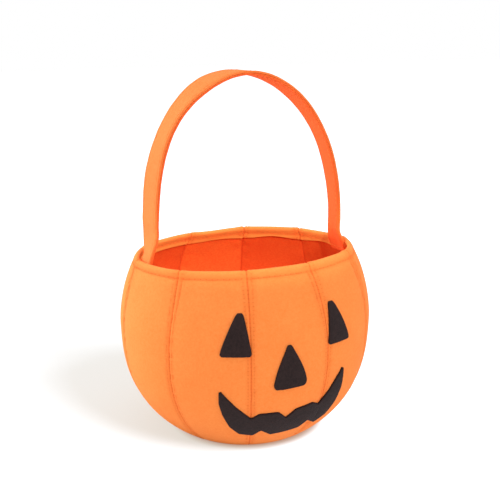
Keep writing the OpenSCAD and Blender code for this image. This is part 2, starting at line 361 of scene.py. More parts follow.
def less(a, b, clamp=False):
    return mathOf("SUBTRACT", a, b, clamp)


def times(a, b, clamp=False):
    return mathOf("MULTIPLY", a, b, clamp)


def mixOf(factor, a, b, blend="MIX"):
    return nextNode("ShaderNodeMix", {0: factor, 6: a, 7: b}, 2, data_type="RGBA", blend_type=blend)


# A smooth step of a value between two limits
def rampOf(value, low, high):
    values = {"Value": value, "From Min": low, "From Max": high}
    return nextNode("ShaderNodeMapRange", values, interpolation_type="SMOOTHSTEP")


def bumpOf(height, strength, distance=0.0003):
    return nextNode("ShaderNodeBump", {"Height": height, "Strength": strength, "Distance": distance})


def readMap(tree, name):
    return nodeOf(tree, "ShaderNodeUVMap", uv_map=name).outputs[0]


def readPoints(tree, name):
    return nodeOf(tree, "ShaderNodeAttribute", attribute_name=name).outputs["Fac"]


# Starts a node group whose inputs are numbers, or a vector where the value is None
def groupOf(name, inputs, outputs):
    group = bpy.data.node_groups.new(name, "ShaderNodeTree")
    for socket, value in inputs.items():
        kind = "NodeSocketVector" if value is None else "NodeSocketFloat"
        made = group.interface.new_socket(socket, in_out="INPUT", socket_type=kind)
        if value is not None:
            made.default_value = value
    for socket in outputs:
        group.interface.new_socket(socket, in_out="OUTPUT", socket_type="NodeSocketFloat")
    return group, nodeOf(group, "NodeGroupInput").outputs


def placeGroup(tree, group, values):
    return nodeOf(tree, "ShaderNodeGroup", values, node_tree=group).outputs


# Felt's grain: slow clouds, a fine mottle, and matted fibres lying in three directions.
# Tone runs from 0 to 1 for colour, Height for the bump
def makeFeltGrain():
    group, ins = groupOf("feltGrain", {"Clouds": 0.35, "Fibres": 0.5, "Mottle": 1.9}, ["Tone", "Height"])
    place = nodeOf(group, "ShaderNodeTexCoord").outputs["Object"]

    def noise(scale, detail, rough, vector=place):
        values = {"Vector": vector, "Scale": scale, "Detail": detail, "Roughness": rough}
        return nodeOf(group, "ShaderNodeTexNoise", values).outputs["Fac"]

    clouds = noise(45, 3, 0.5)
    mottle = noise(520, 5, 0.75)
    fibres = 0.0
    for turn, stretch in (((0.3, 0.2, 0.4), (2600, 260, 2600)), ((1.2, 0.5, -0.9), (260, 2300, 2300)),
                          ((0.6, -1.1, 1.9), (2400, 2400, 240))):
        mapping = nodeOf(group, "ShaderNodeMapping", {"Vector": place, "Rotation": turn, "Scale": stretch})
        fibres = mathOf("MAXIMUM", fibres, noise(1, 2, 0.6, mapping.outputs["Vector"]))
    fibres = times(less(fibres, 0.45), 3.0, clamp=True)
    matted = times(fibres, ins["Fibres"])
    tone = add(times(clouds, ins["Clouds"]), times(matted, 0.5))
    spread = times(less(mottle, 0.5), ins["Mottle"])
    nodeOf(group, "NodeGroupOutput", {"Tone": add(add(tone, 0.12), spread, clamp=True),
                                      "Height": add(matted, times(mottle, ins["Mottle"]))})
    return group


# Needle holes along a sewn row, from a UV map whose first value is the distance from the edge in
# centimetres and second counts stitches: Hole is 1 at each needle hole, Pull is 1 along the row
def makeSewnRow():
    group, ins = groupOf("sewnRow", {"Map": None, "Row": 0.3, "Size": 0.085}, ["Hole", "Pull"])
    split = nodeOf(group, "ShaderNodeSeparateXYZ", {0: ins["Map"]}).outputs
    across = mathOf("DIVIDE", less(split[0], ins["Row"]), ins["Size"])
    step = less(mathOf("FRACT", add(split[1], 0.5)), 0.5)
    along = mathOf("DIVIDE", times(step, 0.44), ins["Size"])
    squareAcross = times(across, across)
    far = add(squareAcross, times(along, along))
    nodeOf(group, "NodeGroupOutput", {"Hole": less(1.0, far, clamp=True),
                                      "Pull": less(1.0, squareAcross, clamp=True)})
    return group


# A plain weave on a UV map in centimetres: warp and weft as crossed sines, at Threads per centimetre
def makeWeave():
    group, ins = groupOf("plainWeave", {"Map": None, "Threads": 18.0}, ["Height"])
    split = nodeOf(group, "ShaderNodeSeparateXYZ", {0: ins["Map"]}).outputs
    warp, weft = (mathOf("SINE", times(times(way, ins["Threads"]), math.tau)) for way in split[:2])
    nodeOf(group, "NodeGroupOutput", {"Height": add(times(times(warp, weft), 0.5), 0.5)})
    return group


feltGrain, sewnRow, plainWeave = makeFeltGrain(), makeSewnRow(), makeWeave()
white = (1, 1, 1)


def materialOf(name, roughness, sheen, sheenTint):
    material = bpy.data.materials.new(name)
    material.use_nodes = True
    shader = material.node_tree.nodes["Principled BSDF"]
    setInputs(shader, {"Roughness": roughness, "Specular IOR Level": 0.2, "Sheen Weight": sheen,
                       "Sheen Roughness": 0.55, "Sheen Tint": sheenTint})
    return material, material.node_tree, shader


# Felt of one colour: grain between a deep and a light tone, with painted shade in the needle holes
# along its sewn rows. rows lists (UV map, distance from the edge in centimetres, strength), and the
# crease list gives painted shade along seams and rows as (UV map, distance and half width in
# centimetres, strength, tone). inside, if given, is a lighter colour painted on the hem's side as painted
# light
def makeFelt(name, deep, light, rows=(), creaseShades=(), inside=None, sheen=0.25, bump=0.35,
             roughness=0.92, clouds=0.5, fibres=0.6, depth=0.0003):
    material, tree, shader = materialOf(name, roughness, sheen, light)
    grain = placeGroup(tree, feltGrain, {"Clouds": clouds, "Fibres": fibres})
    colour, height = mixOf(grain["Tone"], deep, light), grain["Height"]
    if inside:  # painted light: the turned-in hem lies in shade and takes a lighter colour of the same felt
        mask = readPoints(tree, "hemSide")
        colour = mixOf(mask, colour, mixOf(grain["Tone"], np.multiply(inside, 0.93), inside))
    for mapName, row, strength in rows:
        hole = placeGroup(tree, sewnRow, {"Map": readMap(tree, mapName), "Row": row})["Hole"]
        if inside:  # the painted shade of the holes shows less on the hem's side
            strength = times(less(1.0, times(mask, 0.7)), strength)
        # painted shade in each needle hole
        colour = mixOf(times(hole, strength), colour, np.multiply(deep, cloth["holeShade"]))
        height = less(height, times(hole, 1.2))
    for mapName, row, size, amount, tone in creaseShades:  # painted shade where cloth is drawn into a seam or under the rim's row
        sewn = placeGroup(tree, sewnRow, {"Map": readMap(tree, mapName), "Row": row, "Size": size})
        colour = mixOf(times(sewn["Pull"], amount), colour, np.multiply(deep, tone))
    setInputs(shader, {"Base Color": colour, "Normal": bumpOf(height, bump, depth)})
    return material


# Puts a finished piece on the pail
def dress(piece, material, node):
    piece.data.materials.append(material)
    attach(piece, "pail")
    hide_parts(node)


# Colours as pairs of a deep and a light tone, some of them painted light or shade as marked, and the sewn
# rows and painted crease shade of each cloth
cloth = dict(
    # the single colour after the orange pair is the same felt painted lighter for the turned-in hem: painted
    # light where the hem lies in shade
    orange=((0.93, 0.212, 0.038), (0.99, 0.297, 0.067)), hemPaintedLight=(1.0, 0.37, 0.066),
    strap=((0.94, 0.18, 0.033), (1.0, 0.25, 0.06)),
    # the inner ply's colours are the strap's felt painted deeper and redder: painted shade on the strap's
    # inner side
    strapInsideShaded=((0.94, 0.118, 0.02), (1.0, 0.16, 0.03)),
    # liningShade is the colour of the painted shade on the lining's panels and seams
    lining=((0.9, 0.11, 0.014), (0.97, 0.17, 0.026)), liningShade=(0.88, 0.64, 0.62),
    black=((0.013, 0.0075, 0.0072), (0.034, 0.018, 0.017)),
    board=((0.3, 0.28, 0.24), (0.42, 0.4, 0.36)),
    # the thread's colours, then the tone of the painted shade in the needle holes
    thread=((0.855, 0.2115, 0.0405), (0.95, 0.235, 0.045)), holeShade=(0.62, 0.36, 0.3),
    sewnRows=(("seamRows", 0.23, 0.4), ("seamRows", 0.0, 0.35), ("rimRows", 0.78, 0.62)),
    # painted shade along the seams and along the rim's row
    creaseShades=(("seamRows", 0.0, 0.5, 0.35, (0.98, 0.84, 0.75)),
             ("seamRows", 0.0, 0.05, 0.4, (0.86, 0.62, 0.45)),
             ("rimRows", 0.7, 0.35, 0.45, (0.97, 0.84, 0.78))),
    strapRows=(("edgeRows", 0.25, 0.12),),
)
orangeFelt = makeFelt("orangeFelt", *cloth["orange"], cloth["sewnRows"], cloth["creaseShades"], cloth["hemPaintedLight"])
baseFelt = makeFelt("baseFelt", *cloth["orange"])
strapFelt = makeFelt("strapFelt", *cloth["strap"], cloth["strapRows"])
# the inner ply's felt carries painted shade
strapInsideFelt = makeFelt("strapInsideFelt", *cloth["strapInsideShaded"], cloth["strapRows"])
blackFelt = makeFelt("blackFelt", *cloth["black"], sheen=0.05, bump=0.5)
threadOrange = makeFelt("threadOrange", *cloth["thread"], sheen=0.1, bump=0.2)
greyBoard = makeFelt("greyBoard", *cloth["board"], sheen=0.0, bump=0.2,
                     roughness=0.7, clouds=0.3, fibres=0.8, depth=0.0002)


def makeLining():
    deep, light = cloth["lining"]
    material, tree, shader = materialOf("liningCloth", 0.8, 0.15, light)
    grain = placeGroup(tree, feltGrain, {"Clouds": 0.7, "Fibres": 0.25, "Mottle": 3.2})
    weave = placeGroup(tree, plainWeave, {"Map": readMap(tree, "weaveMap"), "Threads": 9.0})["Height"]
    # painted shade of each panel and of its seams
    tone = mixOf(readPoints(tree, "panelShade"), cloth["liningShade"], white)
    colour = mixOf(1.0, mixOf(grain["Tone"], deep, light), tone, "MULTIPLY")
    shade = times(less(1.0, weave), 0.18)
    setInputs(shader, {"Base Color": mixOf(shade, colour, np.multiply(deep, 0.5)),
                       "Normal": bumpOf(add(weave, times(grain["Height"], 0.5)), 0.4)})
    return material


liningCloth = makeLining()
print("materials made")

# The outer gores
sewing = dict(
    pitch=4.2, seamPitch=2.9, seamRow=2.3, rimRow=7.8, edgeRow=2.5,
    threadRadius=0.3, channel=0.22, pucker=0.17, seamDip=0.5,
    rowStep=0.55, hemFlare=0.8, hemTrim=2.4, trimTurn=132, trimSpread=48,
    edgeFall=0.45, edgeRadius=0.7,  # how the felt's raw edges are rounded
    sink=0.55, seamSpace=0.8, rowSpace=1,  # how deep a thread lies in its channel; room between stitches
    hemFrom=1.2, hemFull=4,  # lengths past the rim's top between which the hem's painted light begins
)
rimRound = math.pi * (rimRadius * 2) / pail["gores"]  # length of one gore along the rim
rimStitches = round(rimRound / sewing["pitch"])


# Half the width of a gore at height share h
def halfWidth(h):
    return math.pi * roundRadius(h) / pail["gores"]


# How far the strap's sewn end covers the hem at an angle: 1 under it, 0 away from it
def underStrap(turn):
    side = np.abs(np.abs((turn + 180) % 360 - 180) - 90)
    return 1 - ease(side, 11, 16)


# Distance of a seam's sewn rows from the seam: they run apart near the rim and come together below it
def rowAt(t):
    near = ease(np.minimum(t, 2 * rimTop - t), rimTop - 55, rimTop - 12)
    return sewing["seamRow"] * (1 + 0.5 * near)


# How far the hem's free lower edge stands off the wall
def hemFlareAt(turn, t):
    flare = sewing["hemFlare"] * ease(t - rimTop - sewing["rimRow"], 0, 4.5) * (1 - underStrap(turn))
    return flare * (0.6 + 0.4 * np.sin(np.radians(turn) * 5 + 1))


# Relief of the sewn felt at distance d from a seam and length t along the path: a tight dip at the
# seam, a full band beside it, a channel along each sewn row that deepens at each needle hole,
# puckers as sums of sines that die away from the rows, and longer gathers under the rim
def feltRelief(turn, d, t, seed):
    along = t / sewing["seamPitch"]
    side = np.where(fromMiddle(turn) > 0, 1.0, 2.3) + seed
    dip = -sewing["seamDip"] * bell(d, 0, 0.5) * (0.75 + 0.25 * np.cos(math.tau * along))
    dip -= 0.22 * bell(d, 0, 1.5)
    band = 0.1 * bell(d, 1.7, 0.7)
    row = -sewing["channel"] * bell(d, rowAt(t), 0.6) * holesAt(along)
    pull = ripple(math.tau * t, side, (1, 9.1, 5), (0.7, 5.7, 9), (0.6, 14.3, 3))
    pull = pull * (0.6 + 0.4 * np.sin(t / 23 + 7 * side))
    puckers = sewing["pucker"] * pull * bell(d, sewing["seamRow"], 3.6)
    below = rimTop - t
    rimLength = fromMiddle(turn) / goreTurn * rimStitches
    fromRow = np.abs(below) - sewing["rimRow"]
    outside = ease(below, -2, 2)  # the rim is drawn in along its outer row, and lies flat as the hem
    rim = -sewing["channel"] * bell(fromRow, 0, 0.6) * holesAt(rimLength) * (0.4 + 0.6 * outside)
    rim += (0.25 * bell(fromRow, -3.8, 2.2) - 0.4 * bell(fromRow, 0.2, 1.3)) * (0.15 + 0.85 * outside)
    rim += 0.07 * np.cos(math.tau * rimLength) * bell(fromRow, -1.5, 2.5)
    gathers = ripple(math.tau * d, side, (0.28, 8.5, 3)) * bell(d, 7, 6)
    gathers = gathers * ease(t, rimTop - 42, rimTop - 14) * ease(below, 8, 12)
    rimPull = ripple(math.tau * rimLength, seed, (1, 2.2, 4), (0.6, 3.7, 11))
    rim += 0.7 * sewing["pucker"] * rimPull * bell(fromRow, 0, 3.5) * ease(below, -1, 2)
    bulk = 0.3 * bell(d, 3.2, 3.0) * bell(t, rimTop, 6.0)  # the seam's folded allowance thickens the rim
    return (dip + band + row + puckers + gathers) * ease(t, 2, 9) + rim + bulk + hemFlareAt(turn, t)


# The path's length with the hem cut shorter between the seams than at them, so that its edge waves
def trimmed(t, turn):
    bow = 0.5 + 0.5 * np.cos(math.tau * fromMiddle(turn) / goreTurn)
    trim = 0.4 + sewing["hemTrim"] * bell(turn, sewing["trimTurn"], sewing["trimSpread"])
    return t - trim * bow * (1 - underStrap(turn)) * ease(t, pathLength - 11.5, pathLength)


# Share across a panel for each column: fixed distances near both seams, even steps between
def columnsOf(nearSeam, middleCount, h):
    near = 1 - np.array(nearSeam) / halfWidth(h)[:, None]
    spread = np.linspace(-1, 1, middleCount + 2)[1:-1] * near[:, -1:]
    return np.concatenate([-near, spread, near[:, ::-1]], 1)


# Angle off the face and distance from the nearer seam, for shares across a panel
def placeAcross(index, share, h):
    return goreTurn * (index + share / 2), (1 - np.abs(share)) * halfWidth(h)[:, None]


# A gore's columns beside each seam, and the counts of those between on its face and of all on its back
goreColumns = [0.01, 0.28, 0.48, 0.7, 0.95, 1.3, 1.7, 2.1, 2.4, 2.7, 3.0, 3.3, 3.6, 4.0, 4.6, 5.4, 6.6]
middleColumns, backColumns = 17, 9
# Rows along the gore's path, closer round the fold and at the raw lower edge of the hem
goreRows = np.concatenate([
    [0, 0.25, 0.6], np.arange(1.1, wallLength, sewing["rowStep"]),
    wallLength + foldLength * np.linspace(0.04, 0.96, 14),
    np.arange(hemStart + 0.3, pathLength - 0.9, sewing["rowStep"]),
    pathLength - np.array([0.7, 0.4, 0.15, 0]),
])


def makeGore(index):
    t, h = goreRows[:, None], shareAt(goreRows)
    share = columnsOf(goreColumns, middleColumns, h)
    backShare = np.linspace(share[:, 0], share[:, -1], backColumns).T
    (turn, d), (backTurn, backD) = (placeAcross(index, part, h) for part in (share, backShare))
    rounding = sewing["edgeFall"] * fallOf(np.minimum(t, pathLength - t) / sewing["edgeRadius"])
    cut, backCut = trimmed(t, turn), trimmed(t, backTurn)
    front = gorePoint(turn, cut, feltRelief(turn, d, cut, index * 1.7) - rounding)
    back = gorePoint(backTurn, backCut, hemFlareAt(backTurn, backCut) + rounding - pail["felt"])
    ringD, ringTurn = wrap(d, backD), wrap(turn, backTurn)
    ringT = np.broadcast_to(t, ringD.shape)
    onBack = wrap(np.zeros_like(d), np.ones_like(backD))
    rowPlace = ringD / rowAt(ringT) * sewing["seamRow"] / 10
    rimCount = (ringTurn - goreTurn * index) / goreTurn * rimStitches
    maps = {"seamRows": pointsOf(rowPlace + 5 * onBack, ringT / sewing["seamPitch"]),
            "rimRows": pointsOf(np.abs(rimTop - wrap(cut, backCut)) / 10, rimCount)}
    closing = zipEnd(share[-1], backShare[-1])
    piece = ringSolid("goreFelt%02d" % (index + 1), settle(wrap(front, back)), maps, True, closing)
    # the mask for the painted light on the hem's side
    paintPoints(piece, "hemSide", ease(ringT, rimTop + sewing["hemFrom"], rimTop + sewing["hemFull"]))
    dress(piece, orangeFelt, "gore_%02d" % (index + 1))


for index in range(pail["gores"]):
    makeGore(index)
print("gores sewn:", pail["gores"])


# The lining: a thin cloth inside the gores, with its own seams, pulls beside them and a few soft folds
liningCloths = dict(seamDip=0.5, folds=0.5, rowStep=1.3, columns=[0.01, 0.5, 1.0, 1.8, 3.0, 4.5, 6.5])


def liningRelief(turn, d, t, seed):
    seam = -liningCloths["seamDip"] * bell(d, 0, 0.7)
    pulls = ripple(math.tau * t, seed, (0.22, 12.5, 6)) * bell(d, 2.5, 4.0)
    a = np.radians(turn)
    folds = 0.9 + np.sin(a * 9 + t / 31 + 3 * seed) * np.sin(t / 47 + 2 * seed)
    folds += 0.6 * np.sin(t / 19 + 4 * seed + a * 4)
    away = ease(t, 4, 20) * ease(wallLength - t, 6, 20) * ease(d, 0, 9)
    return seam + pulls + liningCloths["folds"] * folds * away


def makeLiningPanel(index):
    rows = np.concatenate([[0.4, 1.0], np.arange(1.8, wallLength - 1, liningCloths["rowStep"])])
    t, h = rows[:, None], shareAt(rows)
    turn, d = placeAcross(index, columnsOf(liningCloths["columns"], 14, h), h)
    outer = -pail["felt"] - pail["gap"]
    relief = 0.4 * bell(d, 0, 0.7) - np.clip(liningRelief(turn, d, t, index * 1.3), 0, None)
    front, back = (wallPoint(turn, h[:, None], out) for out in (outer - pail["lining"] + relief, outer))
    weaveMap = pointsOf(turn / goreTurn * halfWidth(h)[:, None] / 5, t / 10)
    maps = {"weaveMap": wrap(weaveMap, weaveMap)}
    piece = ringSolid("liningCloth%02d" % (index + 1), settle(wrap(front, back)), maps)
    # painted shade: each panel gets its own shade, standing in for facets lit differently, and more where it
    # is drawn into a seam
    tone = (0.5 + 0.5 * math.cos(2.2 * (index - 5))) * (1 - 0.9 * bell(d, 0, 1.1)) - 0.6 * bell(d, 0, 0.8)
    paintPoints(piece, "panelShade", wrap(tone, tone))
    dress(piece, liningCloth, "lining_%02d" % (index + 1))


for index in range(pail["gores"]):
    makeLiningPanel(index)
print("lining sewn")

# The base: an orange felt disc under the board and a lining disc over it
base = dict(feltRadius=51.1, liningRadius=53.0, liningHeight=3.0, stitchRadius=47.5, columns=120)


# A round cloth disc: a profile from the middle of one side, round the edge, to the middle of the
# other, turned about the middle line
def discSolid(name, profile):
    a = np.linspace(0, math.tau, base["columns"], endpoint=False)
    r, z = profile.T[:, :, None]
    points = pointsOf(r * np.cos(a), r * np.sin(a), z)
    return ringSolid(name, settle(points), {"weaveMap": points[..., :2] * 0.1})


def discProfile(radius, low, high, edge=0.5, stitchRow=None):
    nearEdge = np.linspace(radius - 5.5, radius - edge, 14)
    out = np.concatenate([[0.4], np.linspace(4, radius - 6, 22), nearEdge])
    turns = np.radians([-60, -30, 0, 30, 60])
    rim = pointsOf(radius - edge + edge * np.cos(turns), (low + high) / 2 + (high - low) / 2 * np.sin(turns))
    back = out[::-1]
    fall = 0.25 * bell(back, stitchRow, 0.6) if stitchRow else 0
    return np.concatenate([pointsOf(out, low), rim, pointsOf(back, high - fall)])


basePanel = discSolid("basePanelFelt", discProfile(base["feltRadius"], 0, pail["felt"]))
dress(basePanel, baseFelt, "base_panel")
liningLow, liningTop = base["liningHeight"], base["liningHeight"] + pail["lining"]
liningProfile = discProfile(base["liningRadius"], liningLow, liningTop, 0.3, base["stitchRadius"])
dress(discSolid("baseLiningCloth", liningProfile), liningCloth, "base_lining")

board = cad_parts["base_board"]
board.data.materials.clear()
board.data.materials.append(greyBoard)
print("base closed")

# The strap: two plies along one path, sewn inside the hem at both ends
strap = dict(
    width=25, ply=1.6, gap=0.1, span=158, top=289.5, straight=10.6, swingRoom=3, clear=0.1,
    step=0.8, endTo=0.992,  # length between its rows, and the height share to which its ends are sewn
)
strapThickness = 2 * strap["ply"] + 2 * strap["gap"]
pivotHeight = pail["height"] + strap["width"] / 2 + strap["swingRoom"]
archHeight = pivotHeight + strap["straight"]
archRise = strap["top"] - strapThickness / 2 - archHeight
strapOut = -(rimThickness + strap["clear"] + strapThickness / 2)  # the strap's middle, in from the face
endRadius = (pail["mouthDepth"] / 2 - rimThickness) * (1 + ovalTurn * math.pi / 90)


# Right half of the strap's middle surface: up the inside of the rim, a cubic curve with matching
# directions to the swing height, straight up, then a quarter of an ellipse to the top. across runs
# from -1 at the front edge to 1 at the back edge
def strapHalf(across):
    y, half = across * strap["width"] / 2, strap["span"] / 2
    turn = 90 + y / endRadius * 180 / math.pi
    shares = np.linspace(hemShare + 0.002, strap["endTo"], 14)
    end = wallPoint(turn, shares[:, None], strapOut)
    foot, slope = end[-1], unit(end[-1] - end[-2])
    head = pointsOf(half, y, pivotHeight)
    reach = np.linalg.norm(head - foot, axis=-1, keepdims=True)
    s = np.linspace(0, 1, 26)[1:, None, None]
    up = np.array([0, 0, 1.0])
    bend = ((2 * s ** 3 - 3 * s ** 2 + 1) * foot + (s ** 3 - 2 * s ** 2 + s) * slope * reach
            + (3 * s ** 2 - 2 * s ** 3) * head + (s ** 3 - s ** 2) * up * reach)
    leg = head[None] + np.linspace(0, strap["straight"], 12)[1:, None, None] * up
    a = np.radians(np.linspace(0, 90, 180))[1:, None]
    return np.concatenate([end, bend, leg, pointsOf(half * np.cos(a), y, archHeight + archRise * np.sin(a))])


# The whole middle surface, right half then left half mirrored in X, stepped evenly along its length,
# with its unit normals and the length along it
def strapSheet(across, step):
    right = strapHalf(across)
    sheet = np.concatenate([right, right[-2::-1] * np.array([-1.0, 1, 1])])
    length = lengthAlong(sheet[:, len(across) // 2])
    even = np.linspace(0, length[-1], int(length[-1] / step) + 1)
    sheet = np.stack([pointsAt(even, length, sheet[:, k]) for k in range(len(across))], 1)
    return sheet, unit(np.cross(np.gradient(sheet, axis=1), np.gradient(sheet, axis=0))), even


strapEdge = np.array([0, 0.12, 0.3, 0.55, 0.9, 1.4, 1.8, 2.15, 2.5, 2.85, 3.2, 3.7, 4.6]) * 2 / strap["width"]
strapAcross = np.concatenate([strapEdge - 1, np.linspace(-1, 1, 12)[3:-3], 1 - strapEdge[::-1]])
strapPoints, strapNormals, strapLengths = strapSheet(strapAcross, strap["step"])
strapTotal = strapLengths[-1]


# Relief of a ply: rounded cut edges, a channel along each sewn row and slow puckers beside it
def plyRelief(across, length, seed):
    d = (1 - np.abs(across)) * strap["width"] / 2
    rounding = -0.55 * fallOf(d / 0.6)
    row = -0.22 * bell(d, sewing["edgeRow"], 0.55) * holesAt(length / sewing["pitch"])
    side = np.sign(across) * 2 + seed
    pull = ripple(length, side, (1, 1.6, 5), (1, 2.7, 3), (0.8, 6.1, 1))
    return rounding + row + 0.06 * pull * bell(d, sewing["edgeRow"], 2.6)


# Gives a piece of the strap its material and bakes its placement into its points; the strap's soft stretch
# runs from 150 to 178 mm above the floor
def dressStrap(piece, material):
    piece.data.materials.append(material)
    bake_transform(piece)


def makePly(name, side, material, replaced):
    across, length = strapAcross, strapLengths[:, None]
    endRound = 0.5 * fallOf(np.minimum(length, strapTotal - length) / 0.8)
    outer = strap["gap"] + strap["ply"] + plyRelief(across, length, side) - endRound
    # cut edges wander a little across the strap
    wander = ripple(length, side, (0.1, 7, 1), (0.07, 2.9, 3))
    sheet = strapPoints + pointsOf(0, wander * np.abs(across) ** 8 * np.sign(across), 0)
    front, back = (sheet + strapNormals * side * out for out in (outer[..., None], strap["gap"] * 0.5))
    rows = pointsOf((1 - np.abs(across)) * strap["width"] / 20, length / sewing["pitch"])
    maps = {"edgeRows": wrap(rows, rows + np.array([5.0, 0]))}
    piece = ringSolid(name, settle(standFeet(wrap(front, back))), maps, flip=side < 0)
    dressStrap(piece, material)
    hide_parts(*replaced)


makePly("strapOuterFelt", 1, strapFelt, [
    "handle_outer_ply", "handle_end_left", "handle_end_right", "handle_bend_left", "handle_bend_right"])
# the inner ply takes the felt with painted shade
makePly("strapInnerFelt", -1, strapInsideFelt, ["handle_inner_ply"])
print("strap made, length", round(strapTotal), "mm")

# Sewing thread, one small rounded stitch at a time: a tube of six sides along its own middle line,
# thinning to both ends, where it dives into the felt
stitchSteps = np.array([-1, -0.72, 0, 0.72, 1.0])
stitchRing = np.radians(np.arange(6) * 60)


def stitchSolids(name, middle, lift, onStrap=False):
    ahead = unit(np.gradient(middle, axis=1))
    side = unit(np.cross(ahead, lift))
    up = np.cross(side, ahead)
    radius = sewing["threadRadius"] * np.array([0.35, 0.9, 1, 0.9, 0.35])[:, None, None]
    centre = middle + lift * (0.02 - 0.4 * stitchSteps ** 4)[:, None]
    spokes = np.cos(stitchRing)[:, None] * side[:, :, None] + np.sin(stitchRing)[:, None] * up[:, :, None]
    points = centre[:, :, None] + radius * spokes
    return ringSolid(name, settle(standFeet(points) if onStrap else points))


# Stitches of the gores, sunk into the felt's channel, from angles and path lengths
def goreStitches(name, turn, t, raised=0):
    low, high = (gorePoint(turn, t, lift) for lift in (0.0, 0.5))
    lift = unit(high - low)
    piece = stitchSolids(name, low - lift * sewing["channel"] * sewing["sink"] + lift * raised, lift)
    piece.data.materials.append(threadOrange)
    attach(piece, "pail")


# Lengths of the steps of each stitch along a row. Stitches run half a pitch off the needle holes,
# which lie at whole counts of the pitch
def stitchPlaces(start, stop, pitch, space):
    centres = (np.arange(math.ceil(start / pitch), math.floor(stop / pitch)) + 0.5) * pitch
    return centres[:, None] + stitchSteps * (pitch - space) / 2


def seamStitches():
    t = stitchPlaces(6, pathLength - 1, sewing["seamPitch"], sewing["seamSpace"])
    h = shareAt(t)
    seam = (np.arange(pail["gores"]) + 0.5)[:, None, None, None] * goreTurn
    side = np.array([-1, 1])[None, :, None, None]
    turn, t = np.broadcast_arrays(seam + side * rowAt(t) / halfWidth(h) * goreTurn / 2, t)
    hidden = (underStrap(turn) > 0.5) & (t > hemStart)
    keep = ~hidden.any(-1)
    goreStitches("seamThread", turn[keep], t[keep])


# The row round the rim, on the outside at side -1 and on the hem at side 1, where it also runs over
# the strap's ends
def rimRow(name, side):
    count = rimStitches * pail["gores"]
    centres = (np.arange(count) + 0.5) * 360 / count
    stitch = stitchSteps * (sewing["pitch"] - sewing["rowSpace"]) / 2
    turn = centres[:, None] + stitch / (rimRound * pail["gores"]) * 360
    over = (side > 0) & (underStrap(turn) > 0.5).all(-1)
    raised = over[:, None, None] * (strapThickness + 0.3)
    goreStitches(name, turn, np.full_like(turn, rimTop + side * sewing["rimRow"]), raised)


seamStitches()
rimRow("rimThreadOutside", -1)
rimRow("rimThreadInside", 1)


# A strap row on one side of the strap, 1 outside and -1 inside, near the front or the back edge
def strapStitches(name, side):
    length = stitchPlaces(14, strapTotal - 14, sewing["pitch"], sewing["rowSpace"])
    row = 1 - sewing["edgeRow"] * 2 / strap["width"]
    columns = [np.argmin(np.abs(strapAcross - edge)) for edge in (-row, row)]
    middle, lift = (np.concatenate([pointsAt(length, strapLengths, values[:, k]) for k in columns])
                    for values in (strapPoints, strapNormals * side))
    middle = middle + lift * (strap["gap"] + strap["ply"] - 0.12)
    dressStrap(stitchSolids(name, middle, lift, True), threadOrange)


strapStitches("strapThreadOutside", 1)
strapStitches("strapThreadInside", -1)
print("stitches sewn")

# The face, cut from black felt. The eyes and the nose lie a little off their pattern places, as
# hand-laid pieces do
face = dict(
    thickness=1.45, under=0.05, edge=0.75, corner=0.8,
    leftEye=dict(gap=30.8, width=23.3, low=92.2, height=30.2),
    rightEye=dict(gap=31.3, width=22.3, low=92.4, height=30.2),
    noseWidth=25.4, noseHeight=33, noseLow=65.6, noseLeft=1.6, noseLean=1.0, noseTilt=0.06,
    grinWidth=105, grinHeight=50, grinLow=21,
)
eyeShares = np.array([[0, 0.06, 0.94], [0.05, 0, 1], [0.2, 0.03, 0.95], [0.45, 0.085, 0.825],
                      [0.7, 0.155, 0.68], [0.88, 0.205, 0.555], [0.96, 0.24, 0.485], [1, 0.29, 0.43]])
noseShares = np.array([[0, 0.43], [0.04, 0.49], [0.12, 0.515], [0.29, 0.465], [0.44, 0.4],
                       [0.59, 0.32], [0.73, 0.235], [0.88, 0.135], [0.96, 0.085], [1, 0.05]])
grinShares = np.array([
    [[-0.527, 0.86], [-0.512, 0.875]], [[-0.533, 0.67], [-0.463, 0.745]], [[-0.516, 0.46], [-0.41, 0.61]],
    [[-0.473, 0.21], [-0.352, 0.49]], [[-0.402, 0.05], [-0.3, 0.38]], [[-0.28, 0], [-0.235, 0.47]],
    [[-0.21, 0.12], [-0.16, 0.475]], [[-0.115, 0], [-0.085, 0.475]], [[-0.03, 0.015], [-0.017, 0.35]],
    [[0.05, 0.03], [0.055, 0.49]], [[0.155, 0.06], [0.13, 0.515]], [[0.22, 0.18], [0.2, 0.54]],
    [[0.335, 0.06], [0.27, 0.475]], [[0.428, 0.17], [0.335, 0.65]], [[0.471, 0.4], [0.388, 0.825]],
    [[0.483, 0.66], [0.42, 0.91]], [[0.466, 0.985], [0.45, 0.995]]])


# Evenly stepped points along a bent line
def evenLine(points, step):
    length = lengthAlong(points)
    even = np.linspace(0, length[-1], max(8, int(length[-1] / step)))
    return pointsAt(even, length, points)


# A bent line with its corners rounded: each point becomes the bell-weighted mean of its neighbours
def softLine(points, step, width, closed):
    reach = int(3 * width / step)
    weights = bell(np.arange(-reach, reach + 1) * step, 0, width)
    weights /= weights.sum()
    before, after = points[-reach:], points[:reach]
    if not closed:
        before, after = 2 * points[0] - points[reach:0:-1], 2 * points[-1] - points[-2:-reach - 2:-1]
    padded = np.concatenate([before, points, after])
    return pointsOf(*(np.convolve(axis, weights, mode="valid") for axis in padded.T))


